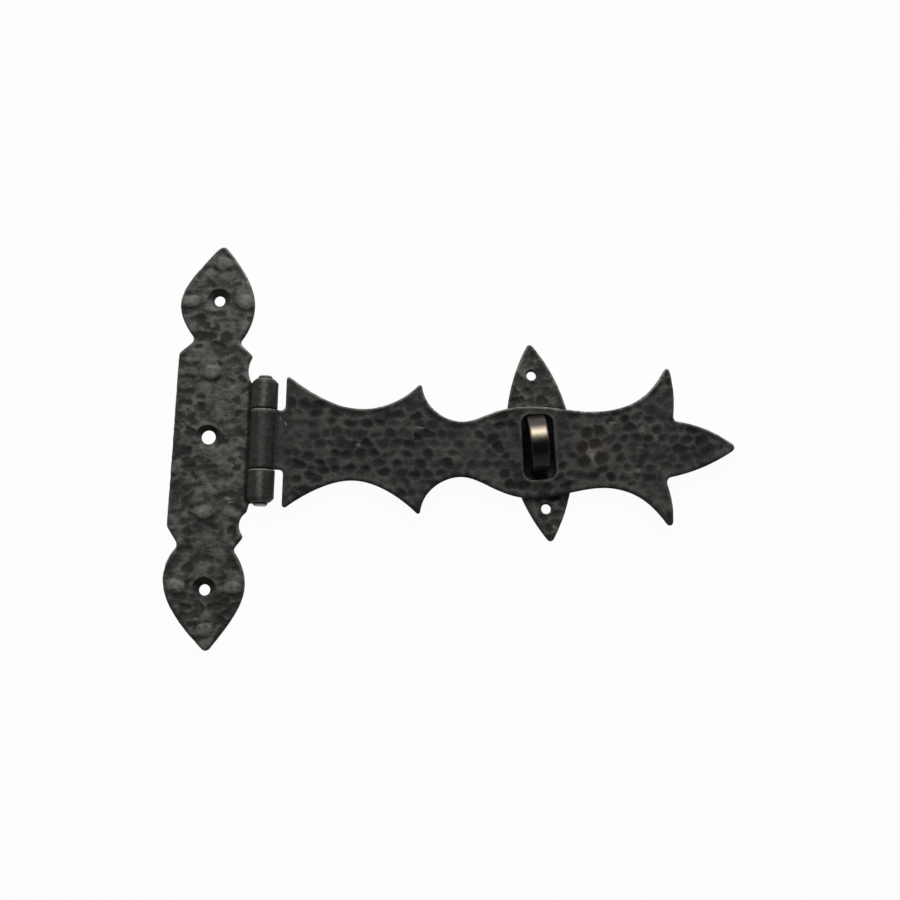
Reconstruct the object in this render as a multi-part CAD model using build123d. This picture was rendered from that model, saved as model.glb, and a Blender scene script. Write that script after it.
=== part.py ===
from build123d import *
import os

# Hammered iron hinged hasp with its staple, closed. Sizes are in millimetres.
# X runs along the strap, Y along the pin and Z out of the door. The origin is
# midway between the two end screws of the hinge plate, on the plane of the backs.

# Main sizes
PLATE_HALF = 72.0  # hinge plate from the middle of its screw line to each tip, before rounding
STRAP_LONG = 163.9  # strap from the pin axis to its tip
REACH = 68.7  # strap from its slot to its tip

# Sheet that both plates and the strap are cut from
SHEET = 2.3
BEVEL = 0.5  # worn bevel along the front edges

# Pin and rolled knuckles
PIN_R = 2.3
PIN_FIT = 0.05  # radial running fit
PIN_X = 18.4  # pin axis from the screw line
HEAD_LAP = 0.15  # peened head beyond the bore
HEAD_RISE = 1.2
BARREL_Y = 0.25  # middle of the barrel along the pin
BARREL_HALF = 21.55
CENTRE_Y = 0.6  # middle of the strap's knuckle along the pin
CENTRE_HALF = 10.3
KNUCKLE_GAP = 0.3
END_BEVEL = 1.7
FACE_BEVEL = 0.4
ROLL_GAP = 0.3  # slit left where a roll closes
EDGE_GAP = 0.3  # plate edge to the strap's knuckle
BORE_R = PIN_R + PIN_FIT
BARREL_R = BORE_R + SHEET
PIN_Z = BARREL_R  # the barrel is level with the backs
TOP_END = BARREL_Y + BARREL_HALF
LOW_END = BARREL_Y - BARREL_HALF
CENTRE_TOP = CENTRE_Y + CENTRE_HALF
CENTRE_LOW = CENTRE_Y - CENTRE_HALF

# Screw holes and false nail heads of the hinge plate
TIP_TO_SCREW = 21.0
SCREW_Y = PLATE_HALF - TIP_TO_SCREW
SCREW_R = 1.9
SINK_R = 3.9
MIDDLE_X = -1.4
MIDDLE_Y = 1.7
MIDDLE_R = 2.45
MIDDLE_SINK_R = 4.05
BOSS_R = 3.0
BOSS_RISE = 0.7
BOSS_TIP = (1.0, PLATE_HALF - 7.6)
BOSS_SIDE = (9.6, SCREW_Y - 0.6)
BOSS_BODY = (-1.0, 24.6)

# Outline of the hinge plate, corner by corner from its top tip, clockwise.
# The scallops on its right edge fill the room between the barrel and the spade ends.
TOP_TIP = (0.5, PLATE_HALF)
TOP_RIGHT = ((8.8, 0.847 * PLATE_HALF), (12.6, 0.694 * PLATE_HALF), (11.2, 0.576 * PLATE_HALF))
NOTCH_TOP_RIGHT = (7.8, 0.496 * PLATE_HALF)
SCALLOP_TOP = NOTCH_TOP_RIGHT[1] - TOP_END
BUMP_TOP = (12.9, TOP_END + 0.653 * SCALLOP_TOP)
DIP_TOP = (11.4, TOP_END + 0.316 * SCALLOP_TOP)
ROOT_TOP = (PIN_X - BARREL_R, TOP_END - END_BEVEL)
ROOT_LOW = (PIN_X - BARREL_R, LOW_END)
NOTCH_LOW_RIGHT = (8.9, -0.519 * PLATE_HALF)
SCALLOP_LOW = LOW_END - NOTCH_LOW_RIGHT[1]
BULGE_LOW = (13.0, LOW_END - 0.19 * SCALLOP_LOW)
DIP_LOW = (10.7, LOW_END - 0.395 * SCALLOP_LOW)
BUMP_LOW = (12.4, LOW_END - 0.713 * SCALLOP_LOW)
LOW_RIGHT = ((12.5, -0.604 * PLATE_HALF), (13.6, -0.688 * PLATE_HALF), (9.6, -0.847 * PLATE_HALF))
LOW_TIP = (1.7, -PLATE_HALF)
LOW_LEFT = ((-10.0, -0.819 * PLATE_HALF), (-14.2, -0.66 * PLATE_HALF), (-12.8, -0.563 * PLATE_HALF))
NOTCH_LOW_LEFT = (-9.6, -0.5 * PLATE_HALF)
SHOULDER_LOW = (-13.9, -0.41 * PLATE_HALF)
SHOULDER_TOP = (-13.1, 0.438 * PLATE_HALF)
NOTCH_TOP_LEFT = (-7.5, 0.506 * PLATE_HALF)
TOP_LEFT = ((-11.1, 0.576 * PLATE_HALF), (-13.6, 0.678 * PLATE_HALF), (-9.9, 0.819 * PLATE_HALF))
PLATE_ROUNDS = (
    (TOP_TIP, 2.0),
    (NOTCH_TOP_RIGHT, 1.5),
    (BUMP_TOP, 1.0),
    (BULGE_LOW, 1.0),
    (BUMP_LOW, 1.2),
    (NOTCH_LOW_RIGHT, 1.5),
    (LOW_TIP, 1.4),
    (NOTCH_LOW_LEFT, 2.0),
    (SHOULDER_LOW, 3.0),
    (SHOULDER_TOP, 2.5),
    (NOTCH_TOP_LEFT, 2.0),
)

# Staple plate under the strap's slot, and staple, both turned a little on the door
SLOT_X = STRAP_LONG - REACH  # slot from the pin axis
LEAF_PAST_SLOT = 0.65
LEAF_X = PIN_X + SLOT_X + LEAF_PAST_SLOT
LEAF_Y = 1.7
TURN = 6.3
LEAF_HALF_LONG = 35.7
LEAF_HALF_WIDE = 11.35
LEAF_TIP_R = 1.2
LEAF_SCREW = 23.6
LEAF_SCREW_X = -0.45  # screw line from the middle of the leaf
LEAF_SCREW_R = 1.7
STAPLE_X = -1.35  # staple from the middle of the leaf
STAPLE_Y = -1.4
BAND_WIDE = 6.0
BAND_THICK = 2.7
BAND_BEVEL = 0.5
HOOP_R = 9.7
CROWN_Z = 16.0
TENON_WIDE = 5.0
TENON_FIT = 0.05

# Slot in the strap, with room round the staple and metal left beyond its two ends
SLOT_Y = -0.67
SLOT_TURN = 3.2
SLOT_SIDE_ROOM = 2.55
SLOT_END_ROOM = 1.7
SLOT_WALL_TOP = 2.87
SLOT_WALL_LOW = 6.13
SLOT_R = 3.0
SLOT_BEVEL = 0.3
SLOT_WIDE = BAND_WIDE + 2 * SLOT_SIDE_ROOM
SLOT_LONG = 2 * (HOOP_R + SLOT_END_ROOM)
CREST_TOP = SLOT_Y + SLOT_LONG / 2 + SLOT_WALL_TOP
CREST_LOW = SLOT_Y - SLOT_LONG / 2 - SLOT_WALL_LOW

# Outline of the strap, clockwise from its upper heel: distance from the pin
# axis, then from the strap's middle line. The two sides were forged by hand and differ.
REST_GAP = 0.2  # strap above the staple plate
STRAP_Z = SHEET + REST_GAP
HEEL_X = 7.3
UPPER_HEEL = (HEEL_X, 23.7)
UPPER_BACK = ((0.188 * SLOT_X, 16.6), (0.35 * SLOT_X, 11.9), (0.481 * SLOT_X, 14.9))
UPPER_BARB = (0.572 * SLOT_X, 21.8)
UPPER_WAIST = ((0.643 * SLOT_X, 10.2), (0.719 * SLOT_X, 7.9), (0.832 * SLOT_X, 11.2))
UPPER_CREST = (SLOT_X - 3.6, CREST_TOP)
UPPER_NECK = (
    (SLOT_X + 0.282 * REACH, 12.1),
    (SLOT_X + 0.501 * REACH, 16.2),
    (SLOT_X + 0.592 * REACH, 22.1),
)
UPPER_PRONG = (SLOT_X + 0.656 * REACH, 29.9)
UPPER_FLANK = (SLOT_X + 0.684 * REACH, 18.5)
UPPER_VALLEY = (SLOT_X + 0.677 * REACH, 9.2)
UPPER_CHEEK = (SLOT_X + 0.857 * REACH, 6.1)
TIP = (STRAP_LONG, 0.1)
LOWER_CHEEK = (SLOT_X + 0.843 * REACH, -6.3)
LOWER_VALLEY = (SLOT_X + 0.632 * REACH, -10.8)
LOWER_FLANK = (SLOT_X + 0.664 * REACH, -18.5)
LOWER_PRONG = (SLOT_X + 0.665 * REACH, -29.0)
LOWER_NECK = (
    (SLOT_X + 0.592 * REACH, -22.4),
    (SLOT_X + 0.515 * REACH, -17.9),
    (SLOT_X + 0.362 * REACH, -14.5),
    (SLOT_X + 0.151 * REACH, -16.4),
)
LOWER_CREST = (SLOT_X - 5.6, CREST_LOW)
LOWER_WAIST = ((0.842 * SLOT_X, -15.3), (0.722 * SLOT_X, -11.3), (0.622 * SLOT_X, -15.0))
LOWER_BARB = (0.574 * SLOT_X, -25.3)
LOWER_BACK = ((0.471 * SLOT_X, -17.5), (0.335 * SLOT_X, -13.1), (0.188 * SLOT_X, -16.7))
LOWER_HEEL = (HEEL_X, -23.5)
TAB_LOW = (HEEL_X, CENTRE_LOW)
TAB_TOP = (HEEL_X, CENTRE_TOP)
STRAP_ROUNDS = (
    (UPPER_HEEL, 0.65),
    (UPPER_BARB, 0.7),
    (UPPER_PRONG, 1.0),
    (UPPER_VALLEY, 2.0),
    (TIP, 1.5),
    (LOWER_VALLEY, 2.0),
    (LOWER_PRONG, 1.0),
    (LOWER_BARB, 0.7),
    (LOWER_HEEL, 0.65),
    (TAB_LOW, 1.5),
    (TAB_TOP, 1.5),
)


def closed_face(pieces):
    """Flat face inside a closed run of lines, arcs and curves."""
    return make_face([edge for piece in pieces for edge in piece.edges()])


def rounded_sheet(outline, rounds):
    """Extrude an outline to one sheet, round its corners and bevel its front edges."""
    plate = extrude(closed_face(outline), SHEET)
    for (x, y), radius in rounds:
        corner = plate.edges().filter_by(Axis.Z).sort_by_distance((x, y, SHEET / 2))[0]
        plate = fillet(corner, radius)
    front = plate.faces().sort_by(Axis.Z)[-1]
    return chamfer(front.outer_wire().edges(), BEVEL)


def knuckle(start, end, start_bevel, end_bevel):
    """Solid round knuckle on the pin axis, from one Y to another."""
    half = Polyline(
        (0, start),
        (BARREL_R - start_bevel, start),
        (BARREL_R, start + start_bevel),
        (BARREL_R, end - end_bevel),
        (BARREL_R - end_bevel, end),
        (0, end),
        close=True,
    )
    return Pos(PIN_X, 0, PIN_Z) * revolve(make_face(half), Axis.Y)


def pin_bore():
    """Cutter for the bore that the pin runs in."""
    return Pos(PIN_X, BARREL_Y, PIN_Z) * Rot(90, 0, 0) * Cylinder(BORE_R, 3 * BARREL_HALF)


def roll_slit(side, floor):
    """Cutter for the narrow slit where a rolled knuckle comes back to its own sheet."""
    slit = Box(BARREL_R, 3 * BARREL_HALF, ROLL_GAP)
    return Pos(PIN_X + side * BARREL_R / 2, BARREL_Y, floor + ROLL_GAP / 2) * slit


def screw_hole(x, y, hole_r, sink_r):
    """Cutter for a countersunk screw hole that opens to the front."""
    depth = sink_r - hole_r
    shaft = Cylinder(hole_r, 4 * SHEET)
    sink = Pos(0, 0, SHEET - depth / 2) * Cone(hole_r, sink_r, depth)
    mouth = Pos(0, 0, SHEET + SHEET / 2) * Cylinder(sink_r, SHEET)
    return Pos(x, y, 0) * (shaft + sink + mouth)


def boss(x, y):
    """Low round false nail head on the front of the plate."""
    ball_r = (BOSS_R**2 + BOSS_RISE**2) / (2 * BOSS_RISE)
    ball = Pos(0, 0, SHEET + BOSS_RISE - ball_r) * Sphere(ball_r)
    keep = Pos(0, 0, SHEET + BOSS_RISE / 2) * Box(3 * BOSS_R, 3 * BOSS_R, 2 * BOSS_RISE)
    return Pos(x, y, 0) * (ball & keep)


def hinge_plate():
    """Hinge plate with its two rolled knuckles."""
    outline = [
        Spline(TOP_TIP, *TOP_RIGHT, NOTCH_TOP_RIGHT),
        Line(NOTCH_TOP_RIGHT, BUMP_TOP),
        ThreePointArc(BUMP_TOP, DIP_TOP, ROOT_TOP),
        Polyline(ROOT_TOP, (PIN_X, ROOT_TOP[1]), (PIN_X, ROOT_LOW[1]), ROOT_LOW),
        Line(ROOT_LOW, BULGE_LOW),
        ThreePointArc(BULGE_LOW, DIP_LOW, BUMP_LOW),
        Line(BUMP_LOW, NOTCH_LOW_RIGHT),
        Spline(NOTCH_LOW_RIGHT, *LOW_RIGHT, LOW_TIP),
        Spline(LOW_TIP, *LOW_LEFT, NOTCH_LOW_LEFT),
        Line(NOTCH_LOW_LEFT, SHOULDER_LOW),
        Line(SHOULDER_LOW, SHOULDER_TOP),
        Line(SHOULDER_TOP, NOTCH_TOP_LEFT),
        Spline(NOTCH_TOP_LEFT, *TOP_LEFT, TOP_TIP),
    ]
    plate = rounded_sheet(outline, PLATE_ROUNDS)
    room = 2 * (BARREL_R + EDGE_GAP)
    gap = 2 * (CENTRE_HALF + KNUCKLE_GAP)
    plate -= Pos(PIN_X, CENTRE_Y, 0) * Box(room, gap, 4 * SHEET)
    plate += knuckle(CENTRE_TOP + KNUCKLE_GAP, TOP_END, FACE_BEVEL, END_BEVEL)
    plate += knuckle(LOW_END, CENTRE_LOW - KNUCKLE_GAP, END_BEVEL, FACE_BEVEL)
    plate -= pin_bore()
    plate -= roll_slit(-1, SHEET)
    for end in (1, -1):
        plate += boss(BOSS_TIP[0], end * BOSS_TIP[1])
        plate += boss(BOSS_SIDE[0], end * BOSS_SIDE[1])
        plate += boss(-BOSS_SIDE[0], end * BOSS_SIDE[1])
        plate += boss(BOSS_BODY[0], end * BOSS_BODY[1])
        plate -= screw_hole(0, end * SCREW_Y, SCREW_R, SINK_R)
    plate -= screw_hole(MIDDLE_X, MIDDLE_Y, MIDDLE_R, MIDDLE_SINK_R)
    return plate


def hinge_pin():
    """Pin with a peened head at each end, resting on the outer knuckles."""
    shank = Rot(90, 0, 0) * Cylinder(PIN_R, 2 * BARREL_HALF)
    head_r = BORE_R + HEAD_LAP
    ball_r = (head_r**2 + HEAD_RISE**2) / (2 * HEAD_RISE)
    for end in (1, -1):
        ball = Pos(0, end * (BARREL_HALF + HEAD_RISE - ball_r), 0) * Sphere(ball_r)
        keep = Pos(0, end * (BARREL_HALF + HEAD_RISE), 0) * Box(4 * head_r, 2 * HEAD_RISE, 4 * head_r)
        shank += ball & keep
    return Pos(PIN_X, BARREL_Y, PIN_Z) * shank


def hasp_strap():
    """Strap with its rolled knuckle and the slot for the staple."""
    outline = [
        Spline(UPPER_HEEL, *UPPER_BACK, UPPER_BARB),
        Spline(UPPER_BARB, *UPPER_WAIST, UPPER_CREST, *UPPER_NECK, UPPER_PRONG),
        ThreePointArc(UPPER_PRONG, UPPER_FLANK, UPPER_VALLEY),
        ThreePointArc(UPPER_VALLEY, UPPER_CHEEK, TIP),
        ThreePointArc(TIP, LOWER_CHEEK, LOWER_VALLEY),
        ThreePointArc(LOWER_VALLEY, LOWER_FLANK, LOWER_PRONG),
        Spline(LOWER_PRONG, *LOWER_NECK, LOWER_CREST, *LOWER_WAIST, LOWER_BARB),
        Spline(LOWER_BARB, *LOWER_BACK, LOWER_HEEL),
        Line(LOWER_HEEL, TAB_LOW),
        Polyline(TAB_LOW, (0, CENTRE_LOW), (0, CENTRE_TOP), TAB_TOP),
        Line(TAB_TOP, UPPER_HEEL),
    ]
    strap = rounded_sheet(outline, STRAP_ROUNDS)
    slot = RectangleRounded(SLOT_WIDE, SLOT_LONG, SLOT_R)
    strap -= Pos(SLOT_X, SLOT_Y, -SHEET) * Rot(0, 0, SLOT_TURN) * extrude(slot, 3 * SHEET)
    front = strap.faces().sort_by(Axis.Z)[-1]
    strap = chamfer(front.inner_wires()[0].edges(), SLOT_BEVEL)
    strap = Pos(PIN_X, 0, STRAP_Z) * strap
    strap += knuckle(CENTRE_LOW, CENTRE_TOP, FACE_BEVEL, FACE_BEVEL)
    strap -= pin_bore()
    strap -= roll_slit(1, STRAP_Z + SHEET)
    return strap


def on_leaf(shape):
    """Turn and move a shape drawn about the staple plate's middle to its place."""
    return Pos(LEAF_X, LEAF_Y, 0) * Rot(0, 0, TURN) * shape


def tenon(end, fit):
    """Leg end that goes through the staple plate, or its hole when fit is given."""
    y = end * (HOOP_R - BAND_THICK / 2)
    block = Box(TENON_WIDE + 2 * fit, BAND_THICK + 2 * fit, SHEET + 4 * fit)
    return Pos(STAPLE_X, STAPLE_Y + y, SHEET / 2) * block


def staple_plate():
    """Leaf-shaped plate that carries the staple."""
    low = (0, -LEAF_HALF_LONG)
    high = (0, LEAF_HALF_LONG)
    outline = [
        ThreePointArc(low, (LEAF_HALF_WIDE, 0), high),
        ThreePointArc(high, (-LEAF_HALF_WIDE, 0), low),
    ]
    leaf = rounded_sheet(outline, ((low, LEAF_TIP_R), (high, LEAF_TIP_R)))
    for end in (1, -1):
        leaf -= Pos(LEAF_SCREW_X, end * LEAF_SCREW, SHEET / 2) * Cylinder(LEAF_SCREW_R, 2 * SHEET)
        leaf -= tenon(end, TENON_FIT)
    return on_leaf(leaf)


def staple():
    """Flat band bent to a hoop, standing on the staple plate with its leg ends through it."""
    spring_z = CROWN_Z - HOOP_R
    inner_r = HOOP_R - BAND_THICK
    hoop = [
        Polyline((-inner_r, spring_z), (-inner_r, SHEET), (-HOOP_R, SHEET), (-HOOP_R, spring_z)),
        ThreePointArc((-HOOP_R, spring_z), (0, CROWN_Z), (HOOP_R, spring_z)),
        Polyline((HOOP_R, spring_z), (HOOP_R, SHEET), (inner_r, SHEET), (inner_r, spring_z)),
        ThreePointArc((inner_r, spring_z), (0, CROWN_Z - BAND_THICK), (-inner_r, spring_z)),
    ]
    face = Plane.YZ * closed_face(hoop)
    band = extrude(face, BAND_WIDE / 2, both=True)
    rims = [edge for edge in band.edges() if abs(edge.center().Z - SHEET) > BAND_BEVEL]
    sides = [edge for edge in rims if abs(abs(edge.center().X) - BAND_WIDE / 2) < 0.01]
    band = chamfer(sides, BAND_BEVEL)
    band = Pos(STAPLE_X, STAPLE_Y, 0) * band
    for end in (1, -1):
        band += tenon(end, 0)
    return on_leaf(band)


os.makedirs("parts", exist_ok=True)
export_step(hinge_plate(), "parts/hinge_plate.step")
export_step(hinge_pin(), "parts/hinge_pin.step")
export_step(hasp_strap(), "parts/hasp_strap.step")
export_step(staple_plate(), "parts/staple_plate.step")
export_step(staple(), "parts/staple.step")
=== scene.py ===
from math import asin, cos, pi, radians, sin, sqrt

import bmesh
import bpy
import numpy as np
from mathutils import Matrix, Vector, kdtree
from mathutils.geometry import delaunay_2d_cdt


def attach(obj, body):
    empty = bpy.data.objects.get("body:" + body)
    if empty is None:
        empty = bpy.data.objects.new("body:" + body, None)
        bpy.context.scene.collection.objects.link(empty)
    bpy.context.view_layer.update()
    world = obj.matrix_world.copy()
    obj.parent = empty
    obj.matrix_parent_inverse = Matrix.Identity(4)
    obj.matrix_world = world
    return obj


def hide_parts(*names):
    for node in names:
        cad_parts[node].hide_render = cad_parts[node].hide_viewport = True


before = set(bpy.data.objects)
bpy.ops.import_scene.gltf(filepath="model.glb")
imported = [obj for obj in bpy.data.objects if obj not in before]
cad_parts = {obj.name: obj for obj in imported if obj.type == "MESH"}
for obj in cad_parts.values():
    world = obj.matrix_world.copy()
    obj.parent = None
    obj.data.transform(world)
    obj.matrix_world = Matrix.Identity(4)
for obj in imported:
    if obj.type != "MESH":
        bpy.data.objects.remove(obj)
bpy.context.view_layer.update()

# Hammered black iron hasp: the forged surfaces, their finish, and a plain pale studio.
# Sizes are in millimetres, and MM turns them into the frame's metres.
# A pair that ramp, fade or between takes says where a change starts and ends.
MM = 0.001

# Camera of the photograph
IMAGE_PX = 900
FOCAL_PX = 981.15
SENSOR = 36.0
AIM = Vector((84.7, 0.0, 0.0))
AIM_PX = (454.98, 445.92)
DISTANCE = 343.06
TILT = radians(9.0)
ROLL = radians(0.8)
CLIP_START = 10.0

# Studio, in metres and watts: each lamp has its place, size and power
MIDDLE = Vector((0.085, 0.0, 0.0))
KEY_LAMP = (Vector((0.085, 0.6, 0.62)), (0.8, 0.7), 7.8)
TOP_LAMP = (Vector((-0.02, 0.14, 0.9)), (0.22, 0.26), 0.4)
WORLD_LIGHT = 0.12
HORIZON = (0.45, 0.65)
FLOOR_R = 3.0
FLOOR_SIDES = 96
FLOOR_Z = -0.0002
FLOOR_COLOUR = (0.7, 0.7, 0.7, 1.0)
FLOOR_ROUGH = 0.9
FLOOR_GLOW = 0.96
GLOW_SPAN = (0.16, 0.5)

# Sheet, barrel and pin, as the frame has them, and the fine form of the pin's heads
SHEET = 2.3
STRAP_BACK = 2.5
PIN_X = 18.4
PIN_Z = 4.65
PIN_R = 2.3
BORE_R = 2.35
BARREL_R = 4.65
BARREL_Y = 0.25
BARREL_HALF = 21.55
CENTRE_Y = 0.6
CENTRE_HALF = 10.3
KNUCKLE_GAP = 0.3
ROLL_GAP = 0.3
ROLL_START = radians(-100)
END_BEVEL = 1.7
FACE_BEVEL = 0.4
BEVEL_ROUND = 1.3
BLEND_R = 2.2
HEAD_R = 2.5
HEAD_RISE = 1.2
HEAD_ROUND = 0.75
HEAD_SLOPE = 0.12
HEAD_CROWN = 0.1
CROWN_RINGS = (1.4, 1.0, 0.6, 0.25)

# Holes of the plates: the width of the countersink round each radius of hole
SINKS = {1.9: 2.75, 2.45: 2.05, 1.7: 0.6}
SINK_REACH = 0.8
# Painted shade in the upper half of each countersink
SINK_SHADE = (-2.0, 2.5)
HOLE_LAND = 0.5
ROUND_POINTS = 8

# False nail heads of the hinge plate, above and below its middle, with the groove round each, a painted
# highlight on their upper rims and painted shade in the groove below them
BOSS_HALF = (3.24, 2.64)
BOSS_RISE = 1.02
BOSS_BASE = 0.35
BOSS_CURVE = (2.2, 0.72)
BOSS_ROUGH = 0.4
BOSS_CLEAR = (2.4, 4.5)
BOSSES = ((1.0, 64.4), (9.6, 50.4), (-9.6, 50.4), (-1.0, 24.6))
NAILS = tuple((x, end * y) for x, y in BOSSES for end in (1, -1))
MOAT = ((0.7, 1.05), (1.1, 1.8))
MOAT_DEEP = 0.22
NAIL_HIGHLIGHT_RIM = ((0.45, 0.75), (0.85, 1.0))
NAIL_LIT = (0.4, 2.0)
NAIL_SHADE = (-0.5, 2.0)

# Staple on its plate: the width, thickness and rounding of its band, feet and leg ends
LEAF_MIDDLE = (114.25, 1.7)
LEAF_TURN = radians(6.3)
STAPLE_PLACE = (-1.35, -1.4)
BAND = (6.0, 2.7, 0.7)
FOOT = (5.7, 2.66, 0.7)
TENON = (4.9, 2.6, 0.3)
TENON_HUG = 0.06
FOOT_BEVEL = 0.3
HOOP_R = 8.35
SPRING_Z = 6.28
# Where round the hoop the painted highlight and the painted sheen above it lie, and how far up the legs the
# painted shade on the feet reaches
HIGHLIGHT_TURN = (radians(74), radians(11))
SHEEN_TURN = (radians(52), radians(18))
FOOT_SHADE_END = (0.5, 2.5)

# Fineness of the forged meshes, and small limits
GRID = 0.36
RIM_STEP = 0.4
RIM_RINGS = (0.12, 0.3, 0.55, 0.88)
RING_CLEAR = 0.93
GRID_CLEAR = RIM_RINGS[-1] + 0.6 * GRID
BACK_GRID = 0.9
BACK_CLEAR = 0.75 * BACK_GRID
BEVEL_ROWS = 8
ROLL_ROWS = 24
ROLL_SIDES = 110
PIN_SIDES = 64
HEAD_ROWS = 9
CORNER_POINTS = 7
LEG_RINGS = 8
HOOP_RINGS = 64
FLAT = 0.002
NEAR = 0.01
DIGITS = 3
TINY = 1e-12
MERGE = 1e-7
CREASE = radians(40)

# What the finish is told at each point: dent to ridge tone with painted light and shade, wear with painted
# highlights, rust, painted shade and smoothness
MARKS = ("tone_and_light", "worn", "rust", "painted_shade", "smooth")
HIDDEN = (0.5, 0.0, 0.0, 0.0, 0.0)
SMOOTH = (0.0, 0.0, 0.0, 0.0, 1.0)
WALL_SHARES = (0.5, 0.22, 0.5, 0.5, 0.5)
WALL_HIDDEN = 0.5

# Backs of the sheets: bevel, slow waves by size and height, and where they rise from the rim
BACK_BEVEL = 0.2
BACK_WAVES = ((5.0, 0.08), (2.0, 0.05))
BACK_SEED = 71
BACK_RISE = (0.3, 2.0)
BACK_TONE = 6.0

# Random lumps: cells of their grid, and how far it may be turned
CELLS = 64
CELL_TURN = (0.3, 1.2)

# Hammer dents, in shares of their pitch or radius, with their slant in radians
DENT_SAMPLES = 5
DENT_OVERHANG = 0.25
DENT_JITTER = (0.42, 0.24)
DENT_RADIUS = 0.6
DENT_SIZES = (0.75, 1.2)
DENT_SLANT = 0.35
DEPTH_CURVE = 1.6
DENT_SPACE = 1.1
DENT_NEAR = 7
BOWL_CURVE = 1.2
RIDGE_CURVE = 4

# Wear along the edges with a painted highlight on those that face up, painted shade along those that face
# down, and the painted light and shade of the band inside them
WEAR_SIZE = 5.0
WEAR_PATCHES = (-0.7, 0.4)
WEAR_LEAST = 0.45
WEAR_BELOW = 0.1
WEAR_WIDE = (0.15, 0.95)
EDGE_SHADE_WIDE = (0.15, 0.8)
FACING_UP = (-0.1, 0.6)
FACING_DOWN = (0.0, 0.6)
LIP_LIGHT_BAND = ((0.7, 1.5), (1.7, 3.0))
LIP_UPPER_SHADE = 0.6
DISH = (0.7, 2.4)
PATCH_FADE = (0.35, 1.2)

# Knuckles and pin: lumps by size and height, a painted highlight along each knuckle's top, wear and a
# painted highlight at its upper end, painted shade in the bores and on the pin beside them, and the worn
# bright ends of the pin
ROLL_LUMPS = ((1.3, 0.035), (3.4, 0.045))
ROLL_STRETCH = 3
ROLL_SEEDS = (61, 63, 65)
TOP_HIGHLIGHT = (0.35, 1.25)
KNUCKLE_UPPER_END = ((0.02, 0.12), (0.3, 0.6))
KNUCKLE_END_HIGHLIGHT = 0.6
BORE_SHADE = 0.9
# Tones of a knuckle's sides and top: the paler top is a painted highlight
OUTER_TONES = (0.12, 0.95)
CENTRE_TONES = (0.45, 0.85)
PIN_WORN = (0.45, 0.95)
PIN_WEAR = 0.7
PIN_SHADE_END = (0.1, 0.5)

# Hinge plate: dents, roughness by size and height, relief, and what makes its tone, wear, painted
# highlights and painted shade.
# A warp is the size, shift and seed of what makes a pattern irregular. A row of tones, of wear
# or of shade shares holds the shares of what the front adds up or picks from, in the same order.
PLATE_DENTS = dict(pitch=3.6, squeeze=1.2, stretch=1.6, depth=(0.02, 0.55), seed=11, passes=1)
PLATE_WARP = (2.0, 0.9, 31)
PLATE_GRAIN = (1.4, 1.0)
PLATE_ROUGH = ((2.9, 0.10), (1.5, 0.05), (0.75, 0.02))
PLATE_MOTTLE = ((2.9, 0.3), (1.5, 0.26), (0.75, 0.15))
PLATE_SEED = 5
PLATE_LOW = 0.1
PLATE_DISH = 0.12
PLATE_ROUND = 0.7
PLATE_EDGE_SEED = 51
PLATE_TONE = 0.78
# The tones carry painted light: the lip band, painted shade under the nail heads and the lower part painted
# darker. The wear carries painted highlights on edges that face up and on nail rims, worn places and
# painted glints. The shade shares are painted shade on edges that face down, in countersinks, beside the
# knuckles and in the grooves.
PLATE_TONES = (-1 / 0.46, 1.0, 0.2, 0.2, -0.5, -0.12)
PLATE_WEAR_AND_HIGHLIGHT = (0.7, 0.28, 0.3, 0.45)
PLATE_SHADE_SHARES = (0.5, 0.85, 0.8, 0.15)
LOWER_SHADE = (5.0, 40.0)
NAIL_WARP = (3.0, 0.45, 41)
NAIL_LUMPS = (1.8, 52)
NAIL_PATCHES = (-0.3, 0.8)
TUCK = (11.4, 12.6)
TUCK_SQUARE = 0.8
GROOVES = ((-9.2, 27.7, 3.6), (-9.4, 22.9, 3.8), (-9.8, 17.7, 3.8), (-9.9, 13.6, 2.8))
GROOVE_WARP = (2.2, 0.5, 47)
GROOVE_HALF = 1.15
GROOVE_END = 0.6
GROOVE_DEEP = 0.34
PLATE_PADS = ((-9.0, 20.5, 4.5, 9.0),)
PAD_CALM = 0.8
STREAK_WARP = (1.5, 0.5, 45)
PLATE_WEAR_AND_GLINTS = (
    (7.3, -19.6, 2.4, 0.5), (8.2, -21.0, 1.8, 0.4), (11.0, 42.6, 1.6, 0.35), (8.6, 57.6, 0.3, 1.4),
    (7.0, 19.6, 2.2, 0.4), (0.6, 36.4, 0.5, 0.8), (0.8, 27.8, 0.4, 1.0), (-2.0, -60.4, 1.6, 0.4),
)

# Strap, in the same way, with the dents, the worn places and the painted glints that the photograph shows
STRAP_DENTS = dict(pitch=3.9, squeeze=1.15, stretch=1.4, depth=(0.16, 0.58), seed=3, passes=4)
STRAP_WARP = (3.0, 0.6, 33)
STRAP_ROUGH = ((4.5, 0.07), (2.0, 0.035), (0.9, 0.015))
STRAP_SEED = 7
STRAP_LOW = 0.06
STRAP_DISH = 0.14
STRAP_ROUND = 0.65
STRAP_EDGE_SEED = 53
STRAP_TONE = 0.9
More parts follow.
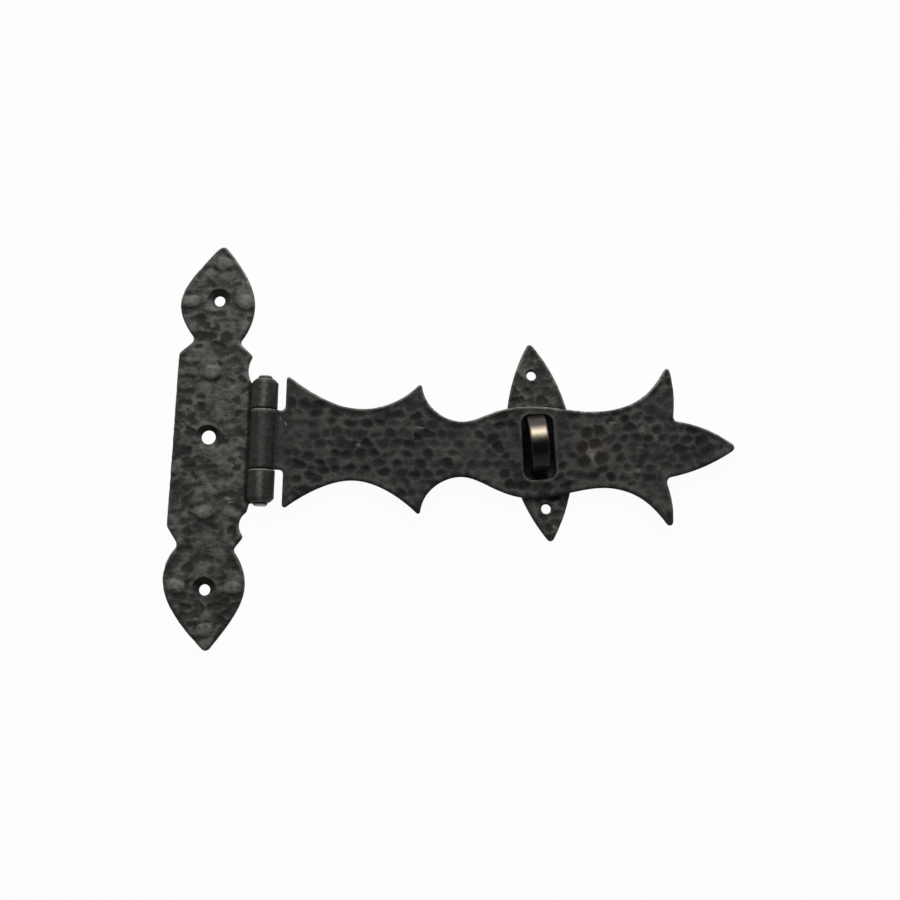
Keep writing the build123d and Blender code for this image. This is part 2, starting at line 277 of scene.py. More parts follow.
# The tones carry the painted lip band; the wear carries painted highlights on edges that face up, worn
# places and painted glints; the shade shares are painted shade on edges that face down and on the slot's
# wall.
STRAP_TONES = (-1 / 0.46, 3.2, 0.3, -0.25)
STRAP_WEAR_AND_HIGHLIGHT = (0.9, 0.4, 0.4, 0.24)
STRAP_SHADE_SHARES = (0.6, 0.9)
SLOT_LAND = (0.3, 1.6)
SLOT_ROUND = 0.35
SLOT_SEED = 54
HEEL_BAND = 0.4
HEEL_REACH = 1.0
TAB = (25.0, 29.0)
TAB_ROUGH = 0.3
FREE_EDGE = 23.5
GLINT_WARP = (1.2, 0.4, 46)
STRAP_WEAR_AND_GLINTS = (
    (24.1, 8.3, 0.5, 1.0), (25.9, 6.4, 0.4, 0.9), (51.3, -0.9, 0.9, 0.7),
    (72.3, 5.4, 2.2, 0.4), (70.2, 2.7, 0.4, 1.1), (139.5, 8.2, 1.8, 0.4),
)
STRAP_GLINTS = (
    (132.1, -3.2, 1.2, 1.0), (149.5, 6.1, 1.5, 1.2), (154.0, 3.0, 1.3, 1.3),
    (149.2, -0.1, 1.5, 1.2), (147.8, -8.3, 1.2, 1.1),
)
UPPER_ROW = ((36.4, 9.9), (41.6, 7.4), (48.1, 6.5), (54.0, 6.5), (58.8, 7.0), (64.7, 9.6), (70.9, 9.2))
LOWER_ROW = (
    (29.9, -13.2), (34.7, -11.8), (39.2, -9.9), (43.7, -9.2), (48.5, -9.0),
    (54.0, -9.0), (60.2, -10.1), (65.0, -7.7), (68.1, -4.2),
)
ROW_DENT = (2.7, 1.8, 0.0, 0.46)
RUST_PATCH = ((132.0, -0.8), (4.6, 9.0))
RUST_WARP = (3.0, 1.2, 43)
RUST_DENTS = ((130.2, 4.4), (134.7, 5.4), (128.7, -0.4), (133.5, 0.6), (129.0, -5.3), (135.2, -4.6))
RUST_DENT = (2.9, 2.75, 0.2, 0.42)

# Staple plate, in the same way
LEAF_DENTS = dict(pitch=3.8, squeeze=1.1, stretch=1.5, depth=(0.1, 0.6), seed=21, passes=2)
LEAF_WARP = (2.6, 0.6, 35)
LEAF_ROUGH = ((3.0, 0.10), (1.5, 0.06), (0.8, 0.03))
LEAF_SEED = 17
LEAF_LOW = 0.06
LEAF_ROUND = 0.6
LEAF_EDGE_SEED = 55
LEAF_TONE = 0.68
# The tones carry the painted lip band; the wear carries a painted highlight on edges that face up; the
# shade shares are painted shade round the staple, on edges that face down and in the countersinks.
LEAF_TONES = (-1 / 0.4, 3.0, 0.25)
LEAF_WEAR_AND_HIGHLIGHT = 0.8
LEAF_SHADE_SHARES = (1.0, 0.5, 0.7)
LEAF_DENT_LAND = (0.0, 1.0)
LEAF_ROUGH_LAND = (0.0, 1.2)
# Painted shade round the staple, under the strap's slot
LEAF_SHADE = ((113.55, 0.2), (14.0, 15.0))
LEAF_RUST = ((112.5, 30.0), (5.0, 4.0))
LEAF_RUST_WARP = (3.0, 1.0, 44)
LEAF_RUST_SHARE = 0.4

# Noise of the finish: size in mm, detail, and the span of it that is used
BLOTCH = (5.0, 4.0, 0.32, 0.68)
GRAIN = (1.3, 4.0, 0.25, 0.75)
FINE = (0.6, 2.0, 0.25, 0.75)
GLOSS_GRAIN = (1.5, 3.0, 0.3, 0.7)

# Colours and roughness of the finish
# Colour of painted shade
SHADE_BLACK = (0.0035, 0.0034, 0.0034)
RUST_DARK = (0.012, 0.008, 0.0057)
RUST_PALE = (0.15, 0.13, 0.105)
# Colour of wear and of painted highlights
WORN_IRON_AND_HIGHLIGHT = (0.30, 0.29, 0.265)
PIN_BLACK = (0.035, 0.034, 0.030)
STAPLE_BLACK = (0.004, 0.0034, 0.004)
# The staple's painted sheen and its painted highlight
STAPLE_SHEEN = (0.06, 0.05, 0.046)
STAPLE_HIGHLIGHT = (0.36, 0.3, 0.22)
STAPLE_ROUGH = (0.24, 0.34)
PIN_BARE = (0.5, 0.48, 0.44)
PIN_ROUGH = (0.36, 0.46)
PLATE_COLOURS = ((0.005, 0.005, 0.0043), (0.033, 0.033, 0.0288), (0.14, 0.14, 0.122))
PLATE_SHARES = (0.46, 0.18, 0.18, 0.28)
PLATE_STRETCH = (1.5, 1, 1)
STRAP_COLOURS = ((0.0025, 0.0025, 0.0022), (0.0145, 0.0145, 0.0130), (0.075, 0.075, 0.067))
STRAP_SHARES = (0.5, 0.17, 0.12, 0.24)

# How the finish turns tone, grain and marks into colour, gloss, roughness and relief
DARK_TO_MIDDLE = (0.1, 0.55)
MIDDLE_TO_LIGHT = (0.5, 0.95)
RUST_TONES = (0.58, 0.92)
RUST_SHARE = 0.85
WEAR_GRAIN = (0.0, 0.6)
# Share of gloss left under full painted shade
SHADE_GLOSS = 0.1
IRON_GLOSS = (0.1, 0.5, 0.1, 0.22)
IRON_ROUGH = (0.59, 0.73)
IRON_METAL = 0.5
SMOOTH_GAIN = 0.12
SMOOTH_RELIEF = 0.15
FINE_DEEP = 0.05
GRAIN_DEEP = 0.12
GLOSS_WEAR = 0.8
GLOSS_SHINE = (0.14, 0.5)
GLOSS_METAL = 0.7
GLOSS_DEEP = 0.02


def flat_loops(node, height):
    """Closed loops, in mm, round a node's flat faces at one height, the longest first."""
    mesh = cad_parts[node].data
    points = [tuple(p) for p in np.round(np.array([v.co for v in mesh.vertices]) / MM, DIGITS)]
    edges = set()
    for face in mesh.polygons:
        corners = [points[i] for i in face.vertices]
        if max(abs(z - height) for _, _, z in corners) > FLAT:
            continue
        for a, b in zip(corners, corners[1:] + corners[:1]):
            if (b, a) in edges:
                edges.remove((b, a))
            else:
                edges.add((a, b))
    following = dict(sorted(edges))
    loops = []
    while following:
        start, point = following.popitem()
        loop = [start]
        while point != start:
            loop.append(point)
            point = following.pop(point)
        loops.append(np.array(loop)[:, :2])
    return sorted(loops, key=loop_length, reverse=True)


def lengths(vectors):
    """Length of each vector."""
    return np.linalg.norm(vectors, axis=1)


def loop_length(loop):
    """Length of a closed loop."""
    return lengths(np.roll(loop, -1, 0) - loop).sum()


def turned(loop, anticlockwise):
    """The loop in the direction asked for."""
    ahead = np.roll(loop, -1, 0)
    area = (loop[:, 0] * ahead[:, 1] - ahead[:, 0] * loop[:, 1]).sum()
    return loop if (area > 0) == anticlockwise else loop[::-1]


def resampled(loop, step):
    """Evenly spaced points along a closed loop."""
    closed = np.vstack([loop, loop[:1]])
    along = np.concatenate([[0], np.cumsum(lengths(np.diff(closed, axis=0)))])
    count = int(round(along[-1] / step))
    at = np.arange(count) * along[-1] / count
    return np.column_stack([np.interp(at, along, closed[:, i]) for i in (0, 1)])


def softened(loop, passes):
    """A closed loop with its facets smoothed away."""
    for _ in range(passes):
        loop = 0.25 * np.roll(loop, 1, 0) + 0.5 * loop + 0.25 * np.roll(loop, -1, 0)
    return loop


def circle(middle, radius):
    """Clockwise points round a hole."""
    count = int(round(2 * pi * radius / RIM_STEP))
    turn = -2 * pi * np.arange(count) / count
    return np.array(middle) + radius * np.column_stack([np.cos(turn), np.sin(turn)])


def inward(loop):
    """Unit vectors from a rim into the metal, which lies on its left."""
    along = np.roll(loop, -1, 0) - np.roll(loop, 1, 0)
    along /= lengths(along)[:, None]
    return np.column_stack([-along[:, 1], along[:, 0]])


def tree_of(points):
    """Search tree over flat points or points in space."""
    tree = kdtree.KDTree(len(points))
    for i, point in enumerate(points):
        tree.insert((*point, 0)[:3], i)
    tree.balance()
    return tree


def rim_tree(rims):
    """Search tree over close points along rims."""
    return tree_of(np.vstack([resampled(rim, RIM_STEP / 4) for rim in rims]))


def distance_to(tree, points):
    """Distance from each flat point to the nearest point of a tree."""
    return np.array([tree.find((x, y, 0))[2] for x, y in points])


def to_edge(rims, points):
    """Distance from each point to the nearest rim, and how far that rim faces up in the picture."""
    upward = np.concatenate([-inward(resampled(rim, RIM_STEP / 4))[:, 1] for rim in rims])
    tree = rim_tree(rims)
    found = [tree.find((x, y, 0)) for x, y in points]
    return np.array([f[2] for f in found]), upward[[f[1] for f in found]]


def within(points, rims):
    """Whether each point lies in the metal, by the rims crossed on its right."""
    odd = np.zeros(len(points), bool)
    x, y = points[:, 0], points[:, 1]
    for rim in rims:
        for (x0, y0), (x1, y1) in zip(rim, np.roll(rim, -1, 0)):
            level = (y0 > y) != (y1 > y)
            if level.any():
                odd ^= level & (x < x0 + (y - y0) * (x1 - x0) / (y1 - y0 + TINY))
    return odd


def hex_grid(low, high, step):
    """Points of a triangular grid over a box."""
    rows = np.arange(low[1], high[1], step * sqrt(3) / 2)
    columns = np.arange(low[0], high[0], step)
    x, y = np.meshgrid(columns, rows)
    x = x + np.where(np.arange(len(rows)) % 2, step / 2, 0)[:, None]
    return np.column_stack([x.ravel(), y.ravel()])


def lumps(points, size, seed):
    """Smooth random heights from -1 to 1, about one lump to each size."""
    draw = np.random.default_rng(seed)
    cells = draw.uniform(-1, 1, (CELLS, CELLS))
    turn = draw.uniform(*CELL_TURN)
    sway = np.array([[cos(turn), -sin(turn)], [sin(turn), cos(turn)]])
    at = points @ sway / size
    base = np.floor(at).astype(int)
    part = at - base
    part = part * part * (3 - 2 * part)
    value = 0
    for i in (0, 1):
        for j in (0, 1):
            share = np.abs(1 - i - part[:, 0]) * np.abs(1 - j - part[:, 1])
            value = value + share * cells[(base[:, 0] + i) % CELLS, (base[:, 1] + j) % CELLS]
    return value


def roughness_of(points, layers, seed):
    """Sum of layers of lumps, each given by its size and height."""
    return sum(height * lumps(points, size, seed + i) for i, (size, height) in enumerate(layers))


def most(layers):
    """The most that layers of lumps can add up to."""
    return sum(height for _, height in layers)


def warped(points, size, shift, seed):
    """Points pushed about a little, so that a pattern is not quite regular."""
    return points + shift * np.column_stack([lumps(points, size, seed), lumps(points, size, seed + 1)])


def ramp(value, low, high):
    """0 below low, 1 above high, with a soft change between them."""
    part = np.clip((value - low) / (high - low), 0, 1)
    return part * part * (3 - 2 * part)


def fade(value, low, high):
    """1 below low, 0 above high, with a soft change between them."""
    return 1 - ramp(value, low, high)


def between(value, rise, fall):
    """A band that comes in over one span and goes out over another."""
    return ramp(value, *rise) * fade(value, *fall)


def bell(value, middle, width):
    """Bell curve: 1 at its middle."""
    return np.exp(-(((value - middle) / width) ** 2))


def mixed(shares, *values):
    """Sum of several values, each times its share."""
    return sum(share * value for share, value in zip(shares, values))


def strongest(shares, *values):
    """The most of several values at each point, each times its share."""
    return np.max([share * value for share, value in zip(shares, values)], axis=0)


def patch(points, middle, half):
    """Soft oval patch: 1 at its middle, falling to 0 beyond its half sizes."""
    return fade(lengths((points - np.array(middle)) / np.array(half)), *PATCH_FADE)


def streaks(points, places):
    """Small patches, each given by its middle and half sizes."""
    return np.max([patch(points, place[:2], place[2:]) for place in places], axis=0)


def grooves(points, places):
    """Narrow level grooves, each given by its middle and half length."""
    value = np.zeros(len(points))
    for x, y, half in places:
        along = fade(np.abs(points[:, 0] - x), GROOVE_END * half, half)
        value = np.maximum(value, along * np.clip(1 - ((points[:, 1] - y) / GROOVE_HALF) ** 2, 0, None))
    return value


def edge_wear_and_light(points, edge, upward, seed):
    """Wear on edges with a painted highlight where they face up, painted shade where they face down, and
    the painted light and shade of the band inside them.
    """
    patchy = WEAR_LEAST + (1 - WEAR_LEAST) * ramp(lumps(points, WEAR_SIZE, seed), *WEAR_PATCHES)
    high = ramp(upward, *FACING_UP)
    low = ramp(-upward, *FACING_DOWN)
    # Edges that face up: wear plus a painted highlight. Edges that face down: painted shade. The band
    # inside is painted lighter by edges that face down and darker by those that face up.
    worn = fade(edge, *WEAR_WIDE) * (WEAR_BELOW + (1 - WEAR_BELOW) * high) * patchy
    painted_shade = fade(edge, *EDGE_SHADE_WIDE) * low
    return worn, painted_shade, between(edge, *LIP_LIGHT_BAND) * (low - LIP_UPPER_SHADE * high)


def dent_places(rim, pitch, squeeze, seed, passes):
    """Middles of hammer dents, spread so that the outer rows follow the edges."""
    draw = np.random.default_rng(seed)
    rim = rim / (squeeze, 1)
    low, high = rim.min(0) - pitch, rim.max(0) + pitch
    edge = tree_of(rim)

    def on_metal(points):
        return points[within(points, [rim]) | (distance_to(edge, points) < DENT_OVERHANG * pitch)]

    samples = on_metal(hex_grid(low, high, pitch / DENT_SAMPLES))
    places = hex_grid(low, high, pitch)
    places = on_metal(places + draw.uniform(-1, 1, places.shape) * pitch * DENT_JITTER)
    for _ in range(passes):
        tree = tree_of(places)
        owner = np.array([tree.find((x, y, 0))[1] for x, y in samples])
        count = np.bincount(owner, minlength=len(places))
        used = count > 0
        middle = np.column_stack([np.bincount(owner, samples[:, i], len(places)) for i in (0, 1)])
        places = middle[used] / count[used][:, None]
    return places * (squeeze, 1)


def hammer_dents(rim, pitch, squeeze, stretch, depth, seed, passes):
    """Dents as rows of x, y, long radius, short radius, direction and depth."""
    draw = np.random.default_rng(seed + 1)
    places = dent_places(rim, pitch, squeeze, seed, passes)
    count = len(places)
    radius = DENT_RADIUS * pitch * sqrt(squeeze) * draw.uniform(*DENT_SIZES, count)
    longer = squeeze * draw.uniform(1.0, stretch, count)
    return np.column_stack([
        places,
        radius * np.sqrt(longer),
        radius / np.sqrt(longer),
        draw.normal(0, DENT_SLANT, count),
        depth[0] + (depth[1] - depth[0]) * draw.uniform(0, 1, count) ** DEPTH_CURVE,
    ])


def placed_dents(dents, places, shape):
    """Dents with some put where they were seen, in place of those that lay there."""
    for place in places:
        away = lengths((dents[:, :2] - place) / shape[:2])
        dents = np.vstack([dents[away > DENT_SPACE], (*place, *shape)])
    return dents


def dent_depth(points, dents):
    """Depth of the dents at each point, with soft ridges between them."""
    tree = tree_of(dents[:, :2])
    rows = np.array([[i for _, i, _ in tree.find_n((x, y, 0), DENT_NEAR)] for x, y in points])
    x, y, long, short, turn, deep = np.moveaxis(dents[rows], 2, 0)
    dx = points[:, None, 0] - x
    dy = points[:, None, 1] - y
    along = dx * np.cos(turn) + dy * np.sin(turn)
    across = dy * np.cos(turn) - dx * np.sin(turn)
    bowl = np.clip(1 - (along / long) ** 2 - (across / short) ** 2, 0, None)
    return ((deep * bowl**BOWL_CURVE) ** RIDGE_CURVE).sum(axis=1) ** (1 / RIDGE_CURVE)


def rounding(edge, radius):
    """Drop of a rounded edge at a distance from it."""
    inner = np.clip(radius - edge, 0, radius)
    return radius - np.sqrt(radius**2 - inner**2)


def rim_edges(counts):
    """Edges along closed rims whose points follow each other, as pairs of numbers."""
    edges = []
    start = 0
    for count in counts:
        edges += [(start + i, start + (i + 1) % count) for i in range(count)]
        start += count
    return edges


def triangles(points, counts):
    """Triangles over flat points on the metal side of the rims, which are the first points."""
    edges = rim_edges(counts)
    coords = [Vector((x, y)) for x, y in points]
    out, _, faces, _, _, _ = delaunay_2d_cdt(coords, edges, [], 0, MERGE)
    if len(out) != len(points):
        raise ValueError("points of a sheet fell together")
    owner = {}
    for k, (a, b, c) in enumerate(faces):
        owner.update({(a, b): k, (b, c): k, (c, a): k})
    rim = set(edges)
    keep = set()
    following = [owner[edge] for edge in edges]
    while following:
        k = following.pop()
        if k in keep:
            continue
        keep.add(k)
        a, b, c = faces[k]
        following += [owner[(q, p)] for p, q in ((a, b), (b, c), (c, a)) if (p, q) not in rim]
    return np.array([faces[k] for k in sorted(keep)])


def inner_grid(rims, tree, step, clear):
    """Points of a grid in the metal, clear of its rims."""
    grid = hex_grid(rims[0].min(0), rims[0].max(0), step)
    grid = grid[within(grid, rims)]
    return grid[distance_to(tree, grid) > clear]


def front_points(rims, tree):
    """Points of a front: its rims, rings close to them, and a grid inside."""
    points = [np.vstack(rims)]
    for step in RIM_RINGS:
        ring = np.vstack([rim + step * inward(rim) for rim in rims])
        points.append(ring[distance_to(tree, ring) > RING_CLEAR * step])
    return np.vstack([*points, inner_grid(rims, tree, GRID, GRID_CLEAR)])


def back_side(rims, tree):
    """Points of a back, how far its slow waves lift them, and their marks."""
    points = np.vstack([
        *(rim + BACK_BEVEL * inward(rim) for rim in rims),
        inner_grid(rims, tree, BACK_GRID, BACK_CLEAR),
    ])
    wave = roughness_of(points, BACK_WAVES, BACK_SEED)
    rise = (wave + most(BACK_WAVES)) * ramp(distance_to(tree, points), *BACK_RISE)
    marks = np.tile(HIDDEN, (len(points), 1))
    marks[:, 0] = np.clip(HIDDEN[0] + BACK_TONE * wave, 0, 1)
    return points, rise, marks


def sheet_mesh(rims, back, front):
    """Closed sheet between its rims: a formed front, walls and a nearly flat back.

    front gives the height of the front above the back, and the marks of each point."""
    counts = [len(rim) for rim in rims]
    tree = rim_tree(rims)
    tops = front_points(rims, tree)
    height, top_marks = front(tops)
    lows, rise, low_marks = back_side(rims, tree)
    rim = np.vstack(rims)
    vertices = np.vstack([
        np.column_stack([tops, back + height]),
        np.column_stack([rim, np.full(len(rim), back + BACK_BEVEL)]),
        np.column_stack([lows, back + rise]),
    ])
    wall_marks = top_marks[:len(rim)] * WALL_SHARES + WALL_HIDDEN * np.array(HIDDEN)
    wall = len(tops)
    low = wall + len(rim)
    faces = [tuple(f) for f in triangles(tops, counts)]
    faces += [tuple(low + f[::-1]) for f in triangles(lows, counts)]
    for a, b in rim_edges(counts):
        faces.append((b, a, wall + a, wall + b))
        faces.append((wall + b, wall + a, low + a, low + b))
    return vertices, faces, np.vstack([top_marks, wall_marks, low_marks])


def ring_faces(rows, count):
    """Faces between rows of points, each row a ring."""
    faces = []
    for j in range(rows - 1):
        a, b = j * count, (j + 1) * count
        faces += [(a + i, b + i, b + (i + 1) % count, a + (i + 1) % count) for i in range(count)]
    return faces


def bar_faces(rows, count):
    """Faces of a closed bar through rows of points, each row a ring."""
    last = (rows - 1) * count
    ends = [tuple(range(count)), tuple(range(last + count - 1, last - 1, -1))]
    return ring_faces(rows, count) + ends


def marks_of(tone_and_light, worn, rust, painted_shade):
    """Marks of hammered metal."""
    return np.column_stack([np.clip(tone_and_light, 0, 1), worn, rust, painted_shade, np.zeros(len(tone_and_light))])


def smooth_marks(count):
    """Marks of smooth black metal."""
    return np.tile(SMOOTH, (count, 1))


def bevel_rows(bevel):
    """Rows of a nearly straight bevel: distance from the end, and drop of the radius."""
    turn = np.linspace(0, pi / 2, BEVEL_ROWS)
    power = 2 / BEVEL_ROUND
    return [(bevel * (1 - cos(t) ** power), bevel * (1 - sin(t) ** power)) for t in turn]


def roll_rows(low, high, bevels):
    """Rows along a roll: Y, and the drop of the radius."""
    rows = [(low + y, drop) for y, drop in bevel_rows(bevels[0])]
    rows += [(y, 0) for y in np.linspace(low + bevels[0], high - bevels[1], ROLL_ROWS)[1:-1]]
    return rows + [(high - y, drop) for y, drop in bevel_rows(bevels[1])[::-1]]


def roll_marks(vertices, high, tones):
    """Marks of a roll: a painted highlight along its top, wear and a painted highlight at its upper end,
    and painted shade in its bore.
    """
    across = vertices[:, 0] - PIN_X
    rise = vertices[:, 2] - PIN_Z
    marks = smooth_marks(len(vertices))
    marks[:, 0] = tones[0] + (tones[1] - tones[0]) * bell(across, *TOP_HIGHLIGHT) * (rise > 0)
    marks[:, 1] = KNUCKLE_END_HIGHLIGHT * between(high - vertices[:, 1], *KNUCKLE_UPPER_END)
    marks[:, 3] = BORE_SHADE * (np.hypot(across, rise) < BORE_R + NEAR)
    return marks


def roll_mesh(ends, bevels, turns, tones, seed):
    """Closed C-shaped roll round the pin, between two Y.

    turns holds the first and the last angle of its outside, and those of its bore."""
    out_turn, in_turn = (np.linspace(*turn, ROLL_SIDES) for turn in turns)
    turn = np.concatenate([out_turn, in_turn[::-1]])
    rows = roll_rows(*ends, bevels)
    vertices = []
    for y, drop in rows:
        at = np.column_stack([BARREL_R * out_turn, np.full(ROLL_SIDES, y / ROLL_STRETCH)])
        worn = roughness_of(at, ROLL_LUMPS, seed) + most(ROLL_LUMPS)
        radius = np.concatenate([BARREL_R - drop - worn, np.full(ROLL_SIDES, BORE_R)])
        x = PIN_X + radius * np.cos(turn)
        z = PIN_Z + radius * np.sin(turn)
        vertices.append(np.column_stack([x, np.full(len(turn), y), z]))
    vertices = np.vstack(vertices)
    count = len(turn)
    faces = ring_faces(len(rows), count)
    last = (len(rows) - 1) * count
    for i in range(ROLL_SIDES - 1):
        end = (i, i + 1, count - 2 - i, count - 1 - i)
        faces += [end, tuple(last + k for k in end[::-1])]
    return vertices, faces, roll_marks(vertices, ends[1], tones)


def placed(name, data):
    """New object in the scene."""
    piece = bpy.data.objects.new(name, data)
    bpy.context.scene.collection.objects.link(piece)
    return piece


def object_of(name, vertices, faces, marks):
    """Object from a mesh in mm, with the marks of its points."""
    mesh = bpy.data.meshes.new(name)
    mesh.from_pydata([tuple(v) for v in vertices * MM], [], [tuple(int(i) for i in f) for f in faces])
    set_marks(mesh, marks)
    return placed(name, mesh)


def set_marks(mesh, marks):
    """Keep the marks on the points of a mesh."""
    for i, name in enumerate(MARKS):
        layer = mesh.attributes.get(name) or mesh.attributes.new(name, "FLOAT", "POINT")
        layer.data.foreach_set("value", np.ascontiguousarray(marks[:, i], np.float32))


def tidy_seams(mesh):
    """Take out the needless points that a union leaves, and split its many-sided faces."""
    seams = bmesh.new()
    seams.from_mesh(mesh)
    bmesh.ops.dissolve_verts(seams, verts=[v for v in seams.verts if len(v.link_edges) == 2])
    bmesh.ops.triangulate(seams, faces=[f for f in seams.faces if len(f.verts) > 4])
    seams.to_mesh(mesh)
    seams.free()


def united(name, shells):
    """One closed object from overlapping shells, each of vertices, faces and marks."""
    parts = [object_of(name if i == 0 else "shell", *shell) for i, shell in enumerate(shells)]
    piece = parts[0]
    for other in parts[1:]:
        join = piece.modifiers.new("join", "BOOLEAN")
        join.operation = "UNION"
        join.solver = "MANIFOLD"
        join.object = other
    bpy.context.view_layer.update()
    shape = piece.evaluated_get(bpy.context.evaluated_depsgraph_get())
    mesh = bpy.data.meshes.new_from_object(shape)
    tidy_seams(mesh)
    piece.modifiers.clear()
    piece.data = mesh
    for other in parts[1:]:
        bpy.data.objects.remove(other)
    tree = tree_of(np.vstack([shell[0] for shell in shells]))
    marks = np.vstack([shell[2] for shell in shells])
    nearest = [tree.find(v.co / MM)[1] for v in mesh.vertices]
    set_marks(mesh, marks[nearest])
    return piece


def finished(piece, body, node, material):
    """Smooth a piece, dress it and put it in its node's place."""
    mesh = piece.data
    mesh.materials.clear()
    mesh.materials.append(material)
    mesh.shade_smooth()
    mesh.set_sharp_from_angle(angle=CREASE)
    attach(piece, body)
    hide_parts(node)


def metal_rims(node, back):
    """Smooth outer rim of a node's back, and its other loops as the frame has them."""
    loops = flat_loops(node, back)
    outer = softened(turned(resampled(loops[0], RIM_STEP), True), 1)
    return outer, loops[1:]


def hole_of(loop):
    """Middle and radius of a round loop."""
    middle = loop.mean(0)
    return middle, lengths(loop - middle).mean()


def sunk(level, points, holes):
    """A front with its countersinks cut, and painted shade in their upper halves."""
    painted_shade = np.zeros(len(points))
    for middle, radius in holes:
        wider = min(SINKS.items(), key=lambda item: abs(item[0] - radius))[1]
        away = lengths(points - middle)
        depth = min(wider, SHEET - HOLE_LAND)
        cone = SHEET - depth + depth * (away - radius) / wider
        cut = (away < radius + wider + SINK_REACH) & (cone < level)
        level = np.where(cut, cone, level)
        painted_shade = np.maximum(painted_shade, cut * ramp(points[:, 1] - middle[1], *SINK_SHADE))
    return level, painted_shade


def nail_heads(points, level, rough):
    """A front with its nail heads raised, and where these are, where their upper rims get a painted
    highlight, and where painted shade falls in their moats below.
    """
    raised, painted_rim_highlight, painted_moat_shade = np.zeros((3, len(points)))
    shifted = warped(points, *NAIL_WARP)
    for nail in NAILS:
        away = lengths((shifted - nail) / BOSS_HALF)
        dome = np.clip(1 - away ** BOSS_CURVE[0], 0, None) ** BOSS_CURVE[1]
        moat = between(away, *MOAT)
        head = SHEET - BOSS_BASE + BOSS_RISE * dome + BOSS_ROUGH * rough
        level = level - MOAT_DEEP * moat
        level = np.where(dome > 0, np.maximum(level, head), level)
        above = points[:, 1] - nail[1]
        raised = np.maximum(raised, dome)
        painted_rim_highlight = np.maximum(painted_rim_highlight, between(away, *NAIL_HIGHLIGHT_RIM) * ramp(above, *NAIL_LIT))
        painted_moat_shade = np.maximum(painted_moat_shade, moat * ramp(-above, *NAIL_SHADE))
    return level, raised, painted_rim_highlight, painted_moat_shade


def plate_knuckles():
    """The two knuckles of the hinge plate, each closing on its sheet with a slit."""
    slit = SHEET + ROLL_GAP - PIN_Z
    turns = [(ROLL_START, pi - asin(slit / r)) for r in (BARREL_R, BORE_R)]
    upper = (CENTRE_Y + CENTRE_HALF + KNUCKLE_GAP, BARREL_Y + BARREL_HALF)
    lower = (BARREL_Y - BARREL_HALF, CENTRE_Y - CENTRE_HALF - KNUCKLE_GAP)
    return [
        roll_mesh(upper, (FACE_BEVEL, END_BEVEL), turns, OUTER_TONES, ROLL_SEEDS[0]),
        roll_mesh(lower, (END_BEVEL, FACE_BEVEL), turns, OUTER_TONES, ROLL_SEEDS[1]),
    ]


def hinge_plate_piece(material):
    """Hinge plate: rough hammered front, nail heads, countersinks and two rolled knuckles."""
    outer, loops = metal_rims("hinge_plate", 0.0)
    holes = [hole_of(loop) for loop in loops]
    rims = [outer] + [circle(*hole) for hole in holes]
    dents = hammer_dents(outer, **PLATE_DENTS)

    def front(points):
        edge, upward = to_edge([outer], points)
        groove = grooves(warped(points, *GROOVE_WARP), GROOVES)
        dent = dent_depth(warped(points, *PLATE_WARP), dents) * (1 - PAD_CALM * streaks(points, PLATE_PADS))
        to_nail = np.min([lengths(points - nail) for nail in NAILS], axis=0)
        dent = np.maximum(dent, GROOVE_DEEP * groove) * ramp(to_nail, *BOSS_CLEAR)
        rough = roughness_of(points / PLATE_GRAIN, PLATE_ROUGH, PLATE_SEED)
        level = SHEET - PLATE_LOW - dent + rough - PLATE_DISH * ramp(edge, *DISH)
        level, nail, painted_rim_highlight, painted_moat_shade = nail_heads(points, level, rough)
        # Painted shade on the plate beside the knuckles, where its edge is also left squarer.
        tucked = ramp(points[:, 0], *TUCK) * (np.abs(points[:, 1] - BARREL_Y) < BARREL_HALF)
        level = level - rounding(edge, PLATE_ROUND) * (1 - TUCK_SQUARE * tucked)
        level, pit = sunk(level, points, holes)
        worn, lower_edge_shade, lip_light = edge_wear_and_light(points, edge, upward, PLATE_EDGE_SEED)
        mottle = roughness_of(points / PLATE_GRAIN, PLATE_MOTTLE, PLATE_SEED)
        lower = ramp(-points[:, 1], *LOWER_SHADE)
        tone_and_light = PLATE_TONE + mixed(PLATE_TONES, dent, mottle, nail, lip_light, painted_moat_shade, lower)
        nail_worn = nail * ramp(lumps(points, *NAIL_LUMPS), *NAIL_PATCHES)
        streak = streaks(warped(points, *STREAK_WARP), PLATE_WEAR_AND_GLINTS)
        # Wear with painted highlights on edges that face up and on nail rims, worn places and painted
        # glints; painted shade on edges that face down, in countersinks, beside the knuckles and in the
        # grooves
        worn = strongest(PLATE_WEAR_AND_HIGHLIGHT, worn * (1 - tucked), nail_worn, painted_rim_highlight, streak)
        painted_shade = strongest(PLATE_SHADE_SHARES, lower_edge_shade, pit, tucked, groove)
        return level, marks_of(tone_and_light, worn, np.zeros(len(points)), painted_shade)

    plate = united("hinge_plate_forged", [sheet_mesh(rims, 0.0, front), *plate_knuckles()])
    finished(plate, "base", "hinge_plate", material)


def blend_height(x):
    """Height of the strap's front above its level part where it runs up to its knuckle."""
    floor = STRAP_BACK + SHEET
    middle = PIN_X + sqrt((BARREL_R + BLEND_R) ** 2 - (floor + BLEND_R - PIN_Z) ** 2)
    meets = PIN_X + BARREL_R * (middle - PIN_X) / (BARREL_R + BLEND_R)
    run = middle - np.clip(x, meets, middle)
    return BLEND_R - np.sqrt(BLEND_R**2 - run**2)


def strap_rims():
    """Outer rim of the strap, with its heel drawn into the knuckle, and the rim of its slot."""
    outer, loops = metal_rims("hasp_strap", STRAP_BACK)
    heel = outer[:, 0] < outer[:, 0].min() + HEEL_BAND
    outer[heel, 0] -= HEEL_REACH
    outer = softened(resampled(outer, RIM_STEP), 1)
    return outer, softened(turned(resampled(loops[0], RIM_STEP), False), 2)


